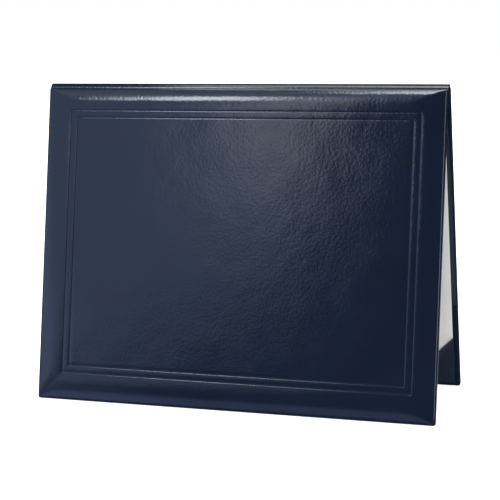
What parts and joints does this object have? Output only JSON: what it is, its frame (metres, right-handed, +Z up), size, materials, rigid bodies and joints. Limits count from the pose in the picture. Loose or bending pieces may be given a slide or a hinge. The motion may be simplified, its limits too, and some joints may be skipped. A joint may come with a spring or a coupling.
{
  "type": "diploma cover",
  "caption": "Padded landscape certificate cover standing as a tent: leatherette over board, debossed frame on the front, white lining and corner pockets inside.",
  "frame": {"origin": "centre of the standing cover's footprint, on the surface it stands on", "axes": "+X along the fold, to the right seen from the padded front; -Y is the side of the padded front; +Z up"},
  "size_m": [0.296, 0.1055, 0.227],
  "materials": {
    "leatherette": "satin",
    "hinge_strip": "satin",
    "pocket": "satin",
    "greyboard": "matte",
    "foam": "matte",
    "liner": "satin"
  },
  "bodies": {
    "back_cover": {"back_board": "greyboard", "back_wrap": "leatherette", "back_liner": "liner", "back_hinge_lining": "hinge_strip", "upper_left_pocket": "pocket", "upper_right_pocket": "pocket", "lower_left_pocket": "pocket", "lower_right_pocket": "pocket"},
    "front_cover": {"front_board": "greyboard", "front_padding": "foam", "front_wrap": "leatherette", "front_liner": "liner", "front_hinge_lining": "hinge_strip"}
  },
  "joints": [
    {"name": "cover_fold", "type": "hinge", "parent": "back_cover", "child": "front_cover", "pos_m": [0, 0, 0.22707], "axis": [-1, 0, 0], "range_deg": [-23.4, 156.6]}
  ]
}
